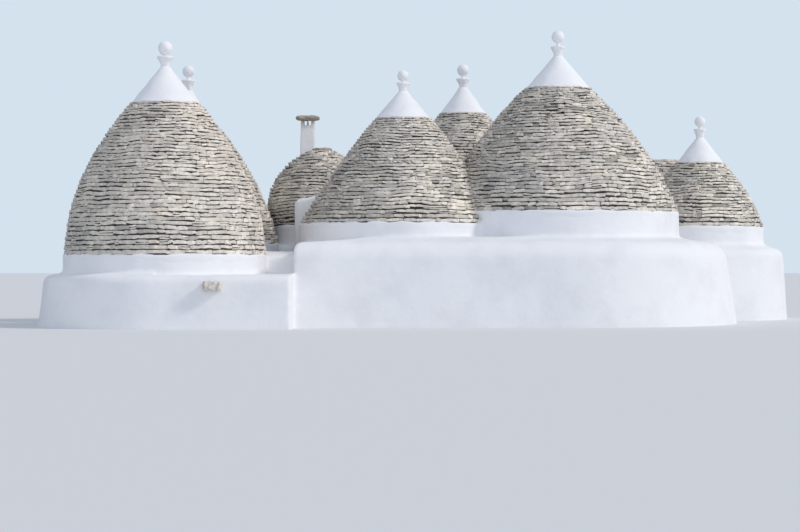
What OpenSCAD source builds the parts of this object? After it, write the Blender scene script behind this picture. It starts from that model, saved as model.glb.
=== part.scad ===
// A whitewashed trullo house: joined round rooms under stepped limestone roofs.
// Millimetres, +Z up, X to the right and Y away from the garden side.
// The origin is the middle of the house's plan, at the foot of its walls.

/* [Main room] */
// How far the main roof runs into the centre roof at their eaves
main_overlap = 1675; // [1575:25:1775]
// Centre of the main room in depth
main_y = 0; // [-150:10:150]
// Radius of the main roof at its eave
main_eave_r = 3105; // [3005:10:3205]
// Height of the main roof's eave
main_eave_z = 2870; // [2700:10:3000]
// Radius of the main roof's plastered cap
main_cap_r = 800; // [730:10:870]
// Height of the main cap's lower rim
main_cap_z = 6160; // [5900:10:6400]
// Height of the main cap itself
main_cap_h = 880; // [780:10:980]
// Bulge of the main roof, 0 for a straight cone
main_bulge = 0.42; // [0.2:0.02:0.6]
// Stone courses in the main roof
main_courses = 38; // [30:1:44]
// Wall thickness of the main room
main_wall = 1000; // [940:10:1060]
// Radius of the main pinnacle's ball
main_ball_r = 167; // [150:1:190]
// Height of the main pinnacle's goblet
main_goblet_h = 245; // [215:5:275]
// Gap that the main pinnacle's neck spans under its ball
main_neck_h = 95; // [75:5:115]

/* [Centre room] */
// Centre of the centre room across the house
centre_x = 80; // [-60:10:220]
// Centre of the centre room in depth
centre_y = -500; // [-650:10:-350]
// Radius of the centre roof at its eave
centre_eave_r = 2655; // [2575:10:2735]
// Height of the centre roof's eave
centre_eave_z = 2570; // [2440:10:2700]
// Radius of the centre roof's plastered cap
centre_cap_r = 665; // [600:5:730]
// Height of the centre cap's lower rim
centre_cap_z = 5340; // [5100:10:5600]
// Height of the centre cap itself
centre_cap_h = 740; // [660:10:820]
// Bulge of the centre roof, 0 for a straight cone
centre_bulge = 0.06; // [0:0.02:0.3]
// Stone courses in the centre roof
centre_courses = 33; // [26:1:40]
// Wall thickness of the centre room
centre_wall = 1080; // [1020:10:1140]
// Radius of the centre pinnacle's ball
centre_ball_r = 146; // [130:1:165]
// Height of the centre pinnacle's goblet
centre_goblet_h = 210; // [180:5:240]
// Gap that the centre pinnacle's neck spans under its ball
centre_neck_h = 45; // [25:5:65]

/* [Rear room] */
// Centre of the rear room across the house
rear_x = 1790; // [1700:10:1900]
// How far the rear roof runs into the centre roof at their eaves
rear_overlap = 230; // [160:10:300]
// Radius of the rear roof at its eave
rear_eave_r = 2575; // [2505:10:2645]
// Height of the rear roof's eave
rear_eave_z = 2800; // [2700:10:2900]
// Radius of the rear roof's plastered cap
rear_cap_r = 605; // [545:5:665]
// Height of the rear cap's lower rim
rear_cap_z = 5810; // [5600:10:6000]
// Height of the rear cap itself
rear_cap_h = 770; // [690:10:850]
// Bulge of the rear roof, 0 for a straight cone
rear_bulge = 0.2; // [0:0.02:0.4]
// Stone courses in the rear roof
rear_courses = 35; // [28:1:42]
// Wall thickness of the rear room
rear_wall = 900; // [840:10:980]
// Radius of the rear pinnacle's ball
rear_ball_r = 168; // [150:1:190]
// Height of the rear pinnacle's goblet
rear_goblet_h = 245; // [215:5:275]
// Gap that the rear pinnacle's neck spans under its ball
rear_neck_h = 75; // [55:5:95]

/* [Left room] */
// Distance from the centre roof's left side to the left room's centre line
left_gap = 3295; // [3195:10:3395]
// Centre of the left room in depth
left_y = -3000; // [-3100:10:-2900]
// Radius of the left roof at its eave
left_eave_r = 2475; // [2385:10:2565]
// Height of the left roof's eave
left_eave_z = 1750; // [1650:10:1850]
// Radius of the left roof's plastered cap
left_cap_r = 795; // [725:5:865]
// Height of the left cap's lower rim
left_cap_z = 5550; // [5350:10:5750]
// Height of the left cap itself
left_cap_h = 940; // [850:10:1040]
// Bulge of the left roof, 0 for a straight cone
left_bulge = 0.9; // [0.6:0.02:1]
// Stone courses in the left roof
left_courses = 40; // [32:1:46]
// Wall thickness of the left room
left_wall = 860; // [800:10:940]
// Radius of the left pinnacle's ball
left_ball_r = 180; // [160:1:200]
// Height of the left pinnacle's goblet
left_goblet_h = 250; // [220:5:280]
// Gap that the left pinnacle's neck spans under its ball
left_neck_h = 30; // [20:5:50]

/* [Left rear room] */
// How far the left rear room's centre lies to the right of the left room's
left_rear_aside = 120; // [20:10:220]
// How far the left rear roof runs into the left roof at their eaves
left_rear_overlap = 80; // [40:10:160]
// Radius of the left rear roof at its eave
left_rear_eave_r = 2405; // [2325:10:2485]
// Height of the left rear roof's eave
left_rear_eave_z = 2080; // [1980:10:2200]
// Radius of the left rear roof's plastered cap
left_rear_cap_r = 620; // [560:5:680]
// Height of the left rear cap's lower rim
left_rear_cap_z = 5390; // [5200:10:5600]
// Height of the left rear cap itself
left_rear_cap_h = 880; // [790:10:970]
// Bulge of the left rear roof, 0 for a straight cone
left_rear_bulge = 0.6; // [0.4:0.02:0.8]
// Stone courses in the left rear roof
left_rear_courses = 35; // [28:1:42]
// Wall thickness of the left rear room
left_rear_wall = 850; // [790:10:930]
// Radius of the left rear pinnacle's ball
left_rear_ball_r = 162; // [145:1:180]
// Height of the left rear pinnacle's goblet
left_rear_goblet_h = 285; // [255:5:315]
// Gap that the left rear pinnacle's neck spans under its ball
left_rear_neck_h = 75; // [55:5:95]

/* [Right room] */
// How far the front wall's foot around the main room reaches past the right room's centre line
right_in = 305; // [205:10:405]
// Centre of the right room in depth
right_y = 4500; // [4400:10:4600]
// Radius of the right roof at its eave
right_eave_r = 1735; // [1685:10:1785]
// Height of the right roof's eave
right_eave_z = 2580; // [2480:10:2680]
// Radius of the right roof's plastered cap
right_cap_r = 620; // [560:5:680]
// Height of the right cap's lower rim
right_cap_z = 4410; // [4250:10:4550]
// Height of the right cap itself
right_cap_h = 740; // [660:10:820]
// Bulge of the right roof, 0 for a straight cone
right_bulge = 0.45; // [0.25:0.02:0.65]
// Stone courses in the right roof
right_courses = 21; // [17:1:26]
// Wall thickness of the right room
right_wall = 620; // [560:10:690]
// Radius of the right pinnacle's ball
right_ball_r = 150; // [135:1:165]
// Height of the right pinnacle's goblet
right_goblet_h = 240; // [210:5:270]
// Gap that the right pinnacle's neck spans under its ball
right_neck_h = 70; // [50:5:90]

/* [Hearth room] */
// Distance from the centre roof's left side in to the hearth room's centre line
hearth_in = 395; // [315:10:475]
// Centre of the hearth room in depth
hearth_y = 3100; // [3040:10:3160]
// Largest radius of the hearth dome, a little above its eave
hearth_belly_r = 1470; // [1420:5:1520]
// Height of the hearth dome's eave
hearth_eave_z = 2600; // [2500:10:2700]
// Height from the eave to the dome's widest course
hearth_belly_h = 430; // [380:10:480]
// Height from the widest course to the point where the dome's curve would close
hearth_rise = 1720; // [1600:10:1840]
// Stone courses in the hearth dome
hearth_courses = 25; // [20:1:30]
// Thickness of the hearth room's walls and of its dome at the widest course
hearth_wall = 600; // [560:10:640]
// How far the dome's widest course stands out past the wall below
hearth_out = 90; // [60:5:120]
// Radius of the slab that closes the dome
crown_slab_r = 285; // [250:5:320]
// Thickness of the slab that closes the dome
crown_slab_t = 120; // [90:5:140]

/* [Low room] */
// How far the low room's centre lies to the left of the right room's
low_aside = 1020; // [940:10:1100]
// How far the low roof runs into the right roof at their eaves
low_overlap = 910; // [850:10:970]
// Radius of the low roof at its eave
low_eave_r = 1275; // [1225:10:1325]
// Height of the low roof's eave
low_eave_z = 2500; // [2400:10:2600]
// Radius of the low roof at its flat top
low_top_r = 700; // [640:10:760]
// Height of the low roof's flat top
low_top_z = 4510; // [4380:10:4640]
// Bulge of the low roof, 0 for a straight cone
low_bulge = 0.5; // [0.3:0.02:0.7]
// Stone courses in the low roof
low_courses = 22; // [18:1:26]
// How far the slab on the low roof reaches past its stones
low_slab_over = 60; // [30:5:90]
// Thickness of the slab on the low roof
low_slab_t = 90; // [70:5:120]
// Wall thickness of the low room
low_wall = 600; // [560:10:650]

/* [Roof stones] */
// Share by which a roof's lower courses are taller than the average
course_taper = 0.2; // [0:0.02:0.3]
// Height of one corbelled ring inside a roof
ring_h = 260; // [220:10:320]
// Radius of the hole that the inner capstone closes
capstone_r = 200; // [150:10:240]
// Thickness of the stone crown over the inner vault
crown_t = 380; // [320:10:460]
// How far a cap's rim reaches past the stones below it
cap_lip = 35; // [20:1:60]
// Height of a cap's upright rim
cap_rim_h = 40; // [20:1:70]

/* [Pinnacles] */
// Radius of a pinnacle's goblet at its foot
goblet_foot_r = 105; // [90:1:118]
// Height of the goblet's upright lip
goblet_lip_h = 40; // [25:1:60]
// How far the goblet's lip is wider than the ball
goblet_over = 25; // [15:1:35]
// Radius of the neck under a pinnacle's ball
neck_r = 50; // [35:1:65]

/* [Plastered walls] */
// How far the plastered drums stand out past the eaves
drum_over = 55; // [30:1:70]
// Height of the long front wall against the drums
front_top_z = 2230; // [2130:10:2330]
// Radius of the front wall's foot around the main room
front_foot_r = 4660; // [4560:10:4760]
// Lean of the front wall's face, from foot to shoulder
front_lean = 240; // [140:10:340]
// Radius of the front wall's rounded shoulder
front_round = 540; // [400:10:600]
// Fall of the front wall's ledge towards its shoulder
front_fall = 110; // [60:10:160]
// How far the front wall's left end stays short of the centre room's left side
front_short = 50; // [20:5:100]
// How far the front wall's back stays in front of the centre room's centre
front_back = 700; // [600:10:800]
// Radius of the front wall's rounded end corner
front_corner = 180; // [120:10:300]
// Length over which the front wall's top rises from its left end
front_end_run = 2400; // [2200:10:2600]
// How much lower the front wall is at its left end
front_end_drop = 150; // [100:5:200]
// Height of the low left wall against its drum
low_wall_z = 1340; // [1240:10:1440]
// Radius of the low left wall's foot around the left room
low_wall_foot_r = 3150; // [3050:10:3250]
// Lean of the low left wall's face
low_wall_lean = 130; // [60:10:200]
// Radius of the low left wall's rounded shoulder
low_wall_round = 230; // [150:10:300]
// Fall of the low left wall's ledge
low_wall_fall = 60; // [20:5:100]
// Height of the right lower wall against its drum
right_base_z = 2120; // [2000:10:2240]
// Radius of the right lower wall's foot
right_foot_r = 2450; // [2380:10:2520]

/* [Link walls] */
// Front of the link wall between the left and centre rooms
link_y = -2600; // [-2750:10:-2450]
// Thickness of the link walls
link_t = 700; // [600:10:800]
// Height of the left link wall at its front
link_front_z = 1740; // [1640:10:1840]
// Height of the left link wall at its back
link_back_z = 1880; // [1780:10:1980]
// Height of the walls that link the hearth room to its neighbours
rear_link_z = 2080; // [1980:10:2180]
// How far the raised wall runs on to the left of the hearth room's centre line
parapet_left = 650; // [580:10:720]
// Length of the raised wall
parapet_len = 1500; // [1300:10:1700]
// Front of the raised wall
parapet_y = 1250; // [1150:10:1350]
// Height of the raised wall at its left end
parapet_z = 3290; // [3190:10:3390]
// Rise of the raised wall's top towards the right
parapet_rise = 300; // [200:10:400]
// Radius of the raised wall's rounded end corner
parapet_corner = 150; // [80:10:220]

/* [Doorways] */
// Width of the doorways
door_w = 900; // [800:10:950]
// Height of the doorways up to the spring of their arch
door_spring_z = 1450; // [1350:10:1500]
// Width of the doorways of the low room
narrow_door_w = 700; // [640:10:740]
// Height of the way through to the left room up to its spring
left_door_spring_z = 1050; // [1000:10:1100]

/* [Chimney] */
// How far the chimney stands to the left of the hearth room's centre
chimney_left = 420; // [360:10:480]
// How far the chimney stands behind the hearth room's centre
chimney_back = 940; // [900:10:980]
// Width of the chimney at its top
chimney_top_w = 375; // [340:5:410]
// Width of the chimney where it leaves the dome
chimney_foot_w = 500; // [450:5:540]
// Height of the chimney's stack
chimney_z = 5600; // [5500:10:5700]
// Height at which the stack starts, inside the dome's stones
chimney_foot_z = 3480; // [3440:10:3520]
// Width of the flue
flue_w = 200; // [160:5:240]
// Width of the fireplace niche under the flue
niche_w = 560; // [500:10:600]
// Height of the fireplace niche
niche_h = 1150; // [1000:10:1300]
// Height of the smoke slots under the chimney's slab
slot_h = 150; // [110:5:180]
// Width of one smoke slot
slot_w = 80; // [60:2:90]
// Width of the chimney's top slab
slab_w = 650; // [580:10:700]
// Thickness of the chimney's top slab
slab_t = 130; // [110:5:160]

/* [Wall stone] */
// Distance of the jutting stone from the left room's centre line
stone_x = 1440; // [1300:10:1560]
// Width of the jutting stone
stone_w = 410; // [340:10:480]
// Height of the jutting stone
stone_h = 190; // [150:5:230]
// How far the stone juts out of the low wall
stone_out = 260; // [200:10:320]
// Height of the jutting stone's middle
stone_z = 1035; // [960:5:1100]

/* [Hidden] */
$fn = 360;

plaster = [0.93, 0.93, 0.95];
limestone = [0.69, 0.66, 0.62];
warm_stone = [0.76, 0.71, 0.62];

// Number of short faces in each rounded shoulder.
round_faces = 6;
// Number of sides of the rough slabs that close the stone roofs.
slab_sides = 11;
// How fast the dome draws in below its widest course, per millimetre.
belly_curl = 0.0006;
// Power in the dome's curve, 0.5 for an ellipse.
dome_power = 0.65;
// Distance by which a cut runs past the wall that it opens.
cut_past = 500;
// Space between the middle of the chimney and the middle of a smoke slot, in slot widths.
slot_place = 0.75;
// Size that is safely larger than the house.
far = 30000;

// Centres of the rooms and the chimney, each from the room that it leans on.
main_x = centre_x + centre_eave_r + main_eave_r - main_overlap;
rear_y = centre_y + centre_eave_r + rear_eave_r - rear_overlap;
left_x = centre_x - centre_eave_r - left_gap;
left_rear_x = left_x + left_rear_aside;
left_rear_y = left_y + left_eave_r + left_rear_eave_r - left_rear_overlap;
right_x = main_x + front_foot_r - right_in;
low_x = right_x - low_aside;
low_y = right_y + right_eave_r + low_eave_r - low_overlap;
hearth_x = centre_x - centre_eave_r + hearth_in;
parapet_x = hearth_x - parapet_left;
chimney_x = hearth_x - chimney_left;
chimney_y = hearth_y + chimney_back;

// Outer radii of the plastered drums.
main_drum_r = main_eave_r + drum_over;
centre_drum_r = centre_eave_r + drum_over;
rear_drum_r = rear_eave_r + drum_over;
left_drum_r = left_eave_r + drum_over;
left_rear_drum_r = left_rear_eave_r + drum_over;
right_drum_r = right_eave_r + drum_over;
hearth_drum_r = hearth_belly_r - hearth_out;
low_drum_r = low_eave_r + drum_over;

// Flat top of the hearth dome, one course below the point where its curve would close.
dome_top_z = hearth_eave_z + (hearth_belly_h + hearth_rise) * (1 - 1 / hearth_courses);

// The plan's outer reach, which sets the origin.
reach_left = left_x - low_wall_foot_r;
reach_right = right_x + right_foot_r;
reach_front = left_y - low_wall_foot_r + low_wall_lean - stone_out;
reach_back = low_y + low_drum_r;
plan_shift = [-(reach_left + reach_right) / 2, -(reach_front + reach_back) / 2, 0];

// Left end of the front wall, which the low left wall and the link wall meet.
front_left_x = centre_x - centre_drum_r + front_short;

// Radius of a roof at height share u, from its eave at 0 to its cap at 1.
function cone_r(eave_r, cap_r, bulge, u) = cap_r + (eave_r - cap_r) * (1 - u) * (1 + bulge * u);

// Height share of a course's lower edge: lower courses are taller.
function course_u(i, courses) =
    let (t = i / courses) (1 + course_taper) * t - course_taper * t * t;

// Radius of the hearth dome at height h over its eave.
function dome_r(h) =
    h < hearth_belly_h
        ? hearth_belly_r - belly_curl * pow(hearth_belly_h - h, 2)
        : hearth_belly_r * pow(1 - pow((h - hearth_belly_h) / hearth_rise, 2), dome_power);

// Two profile points of one course: its lower and upper outer edges.
function course_edge(r, low, high) = [[r, low], [r, high]];

// Points on an arc about a centre, from one angle to another.
function arc(centre, r, from, to) =
    [for (i = [0 : round_faces])
        let (a = from + (to - from) * i / round_faces) centre + r * [cos(a), sin(a)]];

// Profile of a leaning lower wall, as distance from the drum's centre and height.
function base_profile(inner_r, foot_r, lean, round_r, top_z, fall) =
    let (shoulder = [foot_r - lean - round_r, top_z - fall - round_r])
    concat(
        [[inner_r, 0], [foot_r, 0]],
        arc(shoulder, round_r, 0, 90),
        [[inner_r, top_z]]
    );

module at(x, y) {
    translate(plan_shift + [x, y, 0]) children();
}

// Everything on the far side of the valley plane between two round masses.
module beyond_valley(x1, y1, r1, x2, y2, r2) {
    gap = norm([x2 - x1, y2 - y1]);
    along = (gap * gap + r1 * r1 - r2 * r2) / (2 * gap);
    at(x1, y1)
        rotate([0, 0, atan2(y2 - y1, x2 - x1)])
            translate([along, -far / 2, -1]) cube([far, far, far]);
}

// Corbelled stone roof: stepped courses outside, wider corbelled rings inside.
module stone_cone(x, y, eave_r, eave_z, cap_r, cap_z, bulge, courses, wall) {
    rise = cap_z - eave_z;
    vault = rise - crown_t;
    rings = ceil(vault / ring_h);
    room_r = eave_r - wall;
    outside = [for (i = [0 : courses - 1])
        let (low = course_u(i, courses), high = course_u(i + 1, courses))
        each course_edge(
            cone_r(eave_r, cap_r, bulge, low), eave_z + rise * low, eave_z + rise * high)];
    inside = [for (i = [rings - 1 : -1 : 0])
        let (r = cone_r(room_r, capstone_r, bulge, i / rings))
        each [[r, eave_z + vault * (i + 1) / rings], [r, eave_z + vault * i / rings]]];
    at(x, y)
        rotate_extrude()
            polygon(concat(outside, [[0, cap_z], [0, eave_z + vault]], inside));
}

// Stone dome of the hearth room, flat under the slab that closes it.
module stone_dome() {
    height = hearth_belly_h + hearth_rise;
    vault = height - crown_t;
    rings = ceil(vault / ring_h);
    top_z = dome_top_z - hearth_eave_z;
    outside = [for (i = [0 : hearth_courses - 2])
        let (low = height * i / hearth_courses, high = height * (i + 1) / hearth_courses)
        each course_edge(dome_r((low + high) / 2), low, high)];
    inside = [for (i = [rings - 1 : -1 : 0])
        let (r = (hearth_belly_r - hearth_wall) * sqrt(1 - pow(i / rings, 2)))
        each [[r, vault * (i + 1) / rings], [r, vault * i / rings]]];
    at(hearth_x, hearth_y)
        translate([0, 0, hearth_eave_z])
            rotate_extrude()
                polygon(concat(outside, [[0, top_z], [0, vault]], inside));
}

// Plastered cap with a short upright rim.
module cap(x, y, r, z, h) {
    rim_r = r + cap_lip;
    at(x, y)
        rotate_extrude()
            polygon([
                [0, z], [rim_r, z], [rim_r, z + cap_rim_h],
                [goblet_foot_r, z + h], [0, z + h]
            ]);
}

// Goblet with an upright lip, a thin neck and a ball.
module pinnacle(x, y, z, ball_r, goblet_h, neck_h) {
    lip_r = ball_r + goblet_over;
    ball_z = z + goblet_h + neck_h + sqrt(ball_r * ball_r - neck_r * neck_r);
    at(x, y) {
        rotate_extrude()
            polygon([
                [0, z], [goblet_foot_r, z],
                [lip_r, z + goblet_h - goblet_lip_h], [lip_r, z + goblet_h], [0, z + goblet_h]
            ]);
        translate([0, 0, z]) cylinder(r = neck_r, h = ball_z - z);
        translate([0, 0, ball_z]) sphere(r = ball_r);
    }
}

module round_mass(x, y, r, h) {
    at(x, y) cylinder(r = r, h = h);
}

// Round room wall, open inside, from the ground to the eave.
module drum(x, y, r, wall, eave_r, h) {
    difference() {
        round_mass(x, y, r, h);
        at(x, y) translate([0, 0, -1]) cylinder(r = eave_r - wall, h = h + 2);
    }
}

// Arched way through, along Y from y1 to y2.
module way_y(x, y1, y2, w, spring_z) {
    at(x, y1) {
        translate([-w / 2, 0, -1]) cube([w, y2 - y1, spring_z + 1]);
        translate([0, 0, spring_z]) rotate([-90, 0, 0]) cylinder(r = w / 2, h = y2 - y1);
    }
}

// Arched way through, along X from x1 to x2.
module way_x(x1, x2, y, w, spring_z) {
    at(x1, y) {
        translate([0, -w / 2, -1]) cube([x2 - x1, w, spring_z + 1]);
        translate([0, 0, spring_z]) rotate([0, 90, 0]) cylinder(r = w / 2, h = x2 - x1);
    }
}

// The ways between the rooms, shared by the walls on both of their sides.
module main_centre_way() {
    way_x(centre_x, main_x, (centre_y + main_y) / 2, door_w, door_spring_z);
}

module centre_rear_way() {
    way_y((centre_x + rear_x) / 2, centre_y, rear_y, door_w, door_spring_z);
}

module hearth_rear_way() {
    way_x(hearth_x, rear_x, (hearth_y + rear_y) / 2, door_w, door_spring_z);
}

module left_rear_hearth_way() {
    way_x(left_rear_x, hearth_x, (left_rear_y + hearth_y) / 2, door_w, door_spring_z);
}

module left_left_rear_way() {
    way_y((left_x + left_rear_x) / 2, left_y, left_rear_y, door_w, left_door_spring_z);
}

module right_low_way() {
    way_y((right_x + low_x) / 2, right_y, low_y, narrow_door_w, door_spring_z);
}

// The doorways to the outside, on the hidden side.
module rear_door() {
    way_y(rear_x, rear_y, rear_y + rear_drum_r + cut_past, door_w, door_spring_z);
}

module low_door() {
    way_y(low_x, low_y, low_y + low_drum_r + cut_past, narrow_door_w, door_spring_z);
}

// The valley planes between roofs and drums that meet.
module past_main_from_centre() {
    beyond_valley(centre_x, centre_y, centre_drum_r, main_x, main_y, main_drum_r);
}

module past_centre_from_main() {
    beyond_valley(main_x, main_y, main_drum_r, centre_x, centre_y, centre_drum_r);
}

module past_rear_from_main() {
    beyond_valley(main_x, main_y, main_drum_r, rear_x, rear_y, rear_drum_r);
}

module past_main_from_rear() {
    beyond_valley(rear_x, rear_y, rear_drum_r, main_x, main_y, main_drum_r);
}

module past_rear_from_centre() {
    beyond_valley(centre_x, centre_y, centre_drum_r, rear_x, rear_y, rear_drum_r);
}

module past_centre_from_rear() {
    beyond_valley(rear_x, rear_y, rear_drum_r, centre_x, centre_y, centre_drum_r);
}

module past_left_rear_from_left() {
    beyond_valley(left_x, left_y, left_drum_r, left_rear_x, left_rear_y, left_rear_drum_r);
}

module past_left_from_left_rear() {
    beyond_valley(left_rear_x, left_rear_y, left_rear_drum_r, left_x, left_y, left_drum_r);
}

module past_low_from_right() {
    beyond_valley(right_x, right_y, right_drum_r, low_x, low_y, low_drum_r);
}

module past_right_from_low() {
    beyond_valley(low_x, low_y, low_drum_r, right_x, right_y, right_drum_r);
}

module main_roof() {
    color(limestone) difference() {
        stone_cone(main_x, main_y, main_eave_r, main_eave_z, main_cap_r, main_cap_z,
            main_bulge, main_courses, main_wall);
        past_centre_from_main();
        past_rear_from_main();
    }
}

module main_cap() {
    color(plaster) cap(main_x, main_y, main_cap_r, main_cap_z, main_cap_h);
}

module main_pinnacle() {
    color(plaster) pinnacle(main_x, main_y, main_cap_z + main_cap_h, main_ball_r,
        main_goblet_h, main_neck_h);
}

module main_drum() {
    color(plaster) difference() {
        drum(main_x, main_y, main_drum_r, main_wall, main_eave_r, main_eave_z);
        past_centre_from_main();
        past_rear_from_main();
        main_centre_way();
    }
}

module centre_roof() {
    color(limestone) difference() {
        stone_cone(centre_x, centre_y, centre_eave_r, centre_eave_z, centre_cap_r, centre_cap_z,
            centre_bulge, centre_courses, centre_wall);
        past_main_from_centre();
        past_rear_from_centre();
    }
}

module centre_cap() {
    color(plaster) cap(centre_x, centre_y, centre_cap_r, centre_cap_z, centre_cap_h);
}

module centre_pinnacle() {
    color(plaster) pinnacle(centre_x, centre_y, centre_cap_z + centre_cap_h, centre_ball_r,
        centre_goblet_h, centre_neck_h);
}

module centre_drum() {
    color(plaster) difference() {
        drum(centre_x, centre_y, centre_drum_r, centre_wall, centre_eave_r, centre_eave_z);
        past_main_from_centre();
        past_rear_from_centre();
        main_centre_way();
        centre_rear_way();
    }
}

module rear_roof() {
    color(limestone) difference() {
        stone_cone(rear_x, rear_y, rear_eave_r, rear_eave_z, rear_cap_r, rear_cap_z,
            rear_bulge, rear_courses, rear_wall);
        past_main_from_rear();
        past_centre_from_rear();
    }
}

module rear_cap() {
    color(plaster) cap(rear_x, rear_y, rear_cap_r, rear_cap_z, rear_cap_h);
}

module rear_pinnacle() {
    color(plaster) pinnacle(rear_x, rear_y, rear_cap_z + rear_cap_h, rear_ball_r,
        rear_goblet_h, rear_neck_h);
}

module rear_drum() {
    color(plaster) difference() {
        drum(rear_x, rear_y, rear_drum_r, rear_wall, rear_eave_r, rear_eave_z);
        past_main_from_rear();
        past_centre_from_rear();
        centre_rear_way();
        hearth_rear_way();
        rear_door();
    }
}

module left_roof() {
    color(warm_stone) difference() {
        stone_cone(left_x, left_y, left_eave_r, left_eave_z, left_cap_r, left_cap_z,
            left_bulge, left_courses, left_wall);
        past_left_rear_from_left();
    }
}

module left_cap() {
    color(plaster) cap(left_x, left_y, left_cap_r, left_cap_z, left_cap_h);
}

module left_pinnacle() {
    color(plaster) pinnacle(left_x, left_y, left_cap_z + left_cap_h, left_ball_r,
        left_goblet_h, left_neck_h);
}

module left_drum() {
    color(plaster) difference() {
        drum(left_x, left_y, left_drum_r, left_wall, left_eave_r, left_eave_z);
        past_left_rear_from_left();
        left_left_rear_way();
    }
}

module left_rear_roof() {
    color(limestone) difference() {
        stone_cone(left_rear_x, left_rear_y, left_rear_eave_r, left_rear_eave_z,
            left_rear_cap_r, left_rear_cap_z, left_rear_bulge, left_rear_courses,
            left_rear_wall);
        past_left_from_left_rear();
    }
}

module left_rear_cap() {
    color(plaster)
        cap(left_rear_x, left_rear_y, left_rear_cap_r, left_rear_cap_z, left_rear_cap_h);
}

module left_rear_pinnacle() {
    color(plaster)
        pinnacle(left_rear_x, left_rear_y, left_rear_cap_z + left_rear_cap_h,
            left_rear_ball_r, left_rear_goblet_h, left_rear_neck_h);
}

module left_rear_drum() {
    color(plaster) difference() {
        drum(left_rear_x, left_rear_y, left_rear_drum_r, left_rear_wall, left_rear_eave_r,
            left_rear_eave_z);
        past_left_from_left_rear();
        left_left_rear_way();
        left_rear_hearth_way();
    }
}

module right_roof() {
    color(limestone) difference() {
        stone_cone(right_x, right_y, right_eave_r, right_eave_z, right_cap_r, right_cap_z,
            right_bulge, right_courses, right_wall);
        past_low_from_right();
    }
}

module right_cap() {
    color(plaster) cap(right_x, right_y, right_cap_r, right_cap_z, right_cap_h);
}

module right_pinnacle() {
    color(plaster) pinnacle(right_x, right_y, right_cap_z + right_cap_h, right_ball_r,
        right_goblet_h, right_neck_h);
}

module right_drum() {
    color(plaster) difference() {
        drum(right_x, right_y, right_drum_r, right_wall, right_eave_r, right_eave_z);
        past_low_from_right();
        right_low_way();
    }
}

// Solid tapering stack, used whole to open the dome and hollowed for itself.
module chimney_block(foot_w) {
    top_z = chimney_z - chimney_foot_z;
    side = [[-foot_w / 2, 0], [foot_w / 2, 0],
        [chimney_top_w / 2, top_z], [-chimney_top_w / 2, top_z]];
    at(chimney_x, chimney_y)
        translate([0, 0, chimney_foot_z])
            intersection() {
                rotate([90, 0, 0]) linear_extrude(height = foot_w, center = true)
                    polygon(side);
                rotate([90, 0, 90]) linear_extrude(height = foot_w, center = true)
                    polygon(side);
            }
}

// Upright shaft that carries the smoke from the fireplace niche to the slots.
module flue() {
    at(chimney_x, chimney_y)
        translate([-flue_w / 2, -flue_w / 2, niche_h - 1]) cube([flue_w, flue_w, far]);
}

module fireplace_niche() {
    at(chimney_x, hearth_y)
        translate([-niche_w / 2, 0, -1])
            cube([niche_w, chimney_y + flue_w / 2 - hearth_y, niche_h + 1]);
}

module hearth_roof() {
    color(limestone) difference() {
        stone_dome();
        chimney_block(chimney_foot_w);
        flue();
    }
}

module hearth_crown() {
    color(limestone)
        at(hearth_x, hearth_y)
            translate([0, 0, dome_top_z])
                cylinder(r = crown_slab_r, h = crown_slab_t, $fn = slab_sides);
}

module hearth_drum() {
    color(plaster) difference() {
        drum(hearth_x, hearth_y, hearth_drum_r, hearth_wall - hearth_out, hearth_drum_r,
            hearth_eave_z);
        hearth_rear_way();
        left_rear_hearth_way();
        fireplace_niche();
        flue();
        round_mass(rear_x, rear_y, rear_drum_r, far);
        round_mass(left_rear_x, left_rear_y, left_rear_drum_r, far);
    }
}

module chimney_stack() {
    color(plaster) difference() {
        chimney_block(chimney_foot_w);
        flue();
        for (turn = [0, 90], side = [-1, 1])
            at(chimney_x, chimney_y)
                rotate([0, 0, turn])
                    translate([(side * slot_place - 0.5) * slot_w, -far / 2, chimney_z - slot_h])
                        cube([slot_w, far, slot_h + 1]);
    }
}

module chimney_slab() {
    color(limestone)
        at(chimney_x, chimney_y)
            translate([-slab_w / 2, -slab_w / 2, chimney_z]) cube([slab_w, slab_w, slab_t]);
}

module low_roof() {
    color(limestone) difference() {
        stone_cone(low_x, low_y, low_eave_r, low_eave_z, low_top_r, low_top_z, low_bulge,
            low_courses, low_wall);
        past_right_from_low();
    }
}

module low_slab() {
    color(limestone)
        at(low_x, low_y)
            translate([0, 0, low_top_z])
                cylinder(r = low_top_r + low_slab_over, h = low_slab_t, $fn = slab_sides);
}

module low_drum() {
    color(plaster) difference() {
        drum(low_x, low_y, low_drum_r, low_wall, low_eave_r, low_eave_z);
        past_right_from_low();
        right_low_way();
        low_door();
    }
}

// Long leaning wall in front of the centre and main rooms, with one rounded end.
module front_wall() {
    run = main_x - front_left_x;
    back = main_y - centre_y + front_back;
    face = base_profile(main_drum_r, front_foot_r, front_lean, front_round, front_top_z,
        front_fall);
    color(plaster) difference() {
        at(front_left_x, main_y) {
            intersection() {
                rotate([90, 0, 90]) linear_extrude(height = run)
                    polygon([for (p = concat([[back, 0]], face, [[back, front_top_z]]))
                        [-p.x, p.y]]);
                rotate([90, 0, 0]) linear_extrude(height = front_foot_r)
                    polygon(concat(
                        [[0, 0]],
                        arc([front_corner, front_top_z - front_end_drop - front_corner],
                            front_corner, 180, 90),
                        [[front_end_run, front_top_z], [run, front_top_z], [run, 0]]));
            }
        }
        round_mass(main_x, main_y, main_drum_r, far);
        round_mass(centre_x, centre_y, centre_drum_r, far);
    }
}

// Leaning wall around the right of the main room.
module main_base() {
    color(plaster) difference() {
        at(main_x, main_y)
            rotate([0, 0, -90])
                rotate_extrude(angle = 180)
                    polygon(base_profile(main_drum_r, front_foot_r, front_lean, front_round,
                        front_top_z, front_fall));
        round_mass(rear_x, rear_y, rear_drum_r, far);
        round_mass(right_x, right_y, right_drum_r, far);
    }
}

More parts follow.
